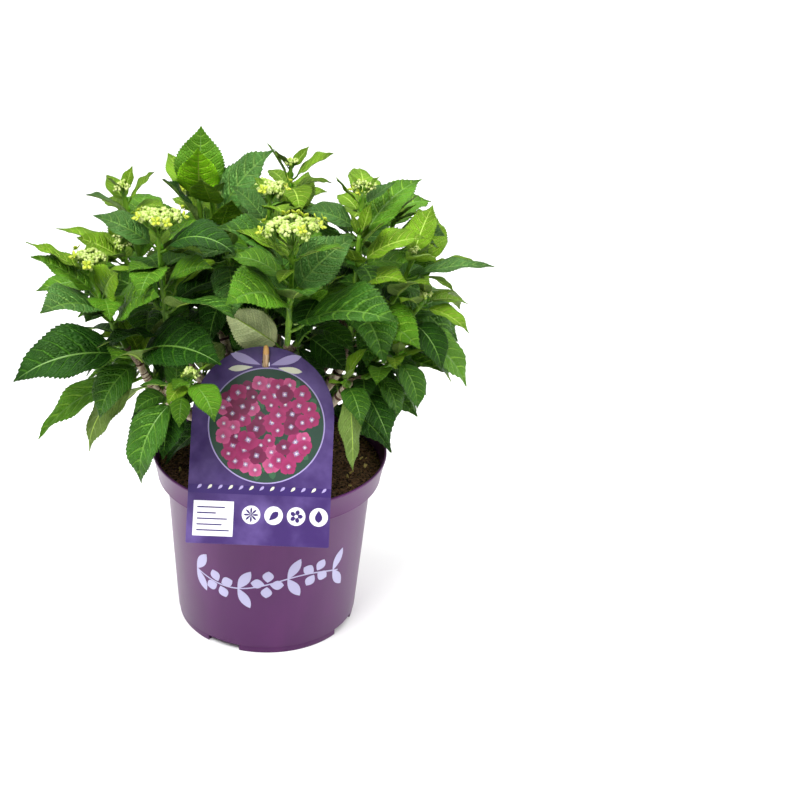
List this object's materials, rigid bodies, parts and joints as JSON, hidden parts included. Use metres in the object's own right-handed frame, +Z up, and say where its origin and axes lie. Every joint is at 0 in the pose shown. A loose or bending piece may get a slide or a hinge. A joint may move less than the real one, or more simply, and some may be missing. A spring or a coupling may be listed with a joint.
{
  "type": "potted hydrangea shrub",
  "caption": "Young bushy hydrangea with broad leaves and flat heads of green buds, in a round stepped nursery pot with a care label on a stick.",
  "frame": {"origin": "centre of the pot's flat underside", "axes": "+Z up along the pot's axis; the care label faces -Y"},
  "size_m": [0.3751, 0.3326, 0.418],
  "materials": {
    "pot": "dark purple moulded plastic with a soft sheen",
    "soil": "moist dark peaty compost with bits of bark",
    "label": "printed plastic card, smooth",
    "stick": "pale round wooden peg",
    "woody_stems": "thin beige bark with brown marks",
    "foliage": "living leaves, green stems and green flower buds, satin"
  },
  "bodies": {
    "root": {"pot": "pot", "soil": "soil", "label": "label", "label_stick": "stick", "trunk": "woody_stems", "bough_front": "woody_stems", "bough_front_left": "woody_stems", "bough_left_outer": "woody_stems", "bough_left_inner": "woody_stems", "bough_left": "woody_stems", "bough_back_left": "woody_stems", "bough_back": "woody_stems", "bough_back_right": "woody_stems", "bough_right": "woody_stems", "bough_centre": "woody_stems", "bough_right_low": "woody_stems", "shoot_front": "foliage", "shoot_centre": "foliage", "shoot_top": "foliage", "shoot_upper_right": "foliage", "shoot_upper_left": "foliage", "shoot_left_inner": "foliage", "shoot_left_outer": "foliage", "shoot_left": "foliage", "shoot_top_left": "foliage", "shoot_front_low": "foliage", "shoot_right": "foliage", "shoot_far_right": "foliage", "shoot_right_back": "foliage", "shoot_high_left": "foliage", "shoot_inner_right": "foliage", "shoot_back_right": "foliage", "shoot_back": "foliage", "shoot_back_left": "foliage", "shoot_far_left": "foliage", "shoot_far_back": "foliage", "shoot_low_left": "foliage", "shoot_low_right": "foliage", "shoot_low_front": "foliage", "shoot_heart_left": "foliage", "shoot_heart_right": "foliage", "shoot_side_left": "foliage", "shoot_heart_back": "foliage", "shoot_low_back": "foliage", "shoot_low_back_left": "foliage", "shoot_low_back_right": "foliage"}
  },
  "joints": []
}
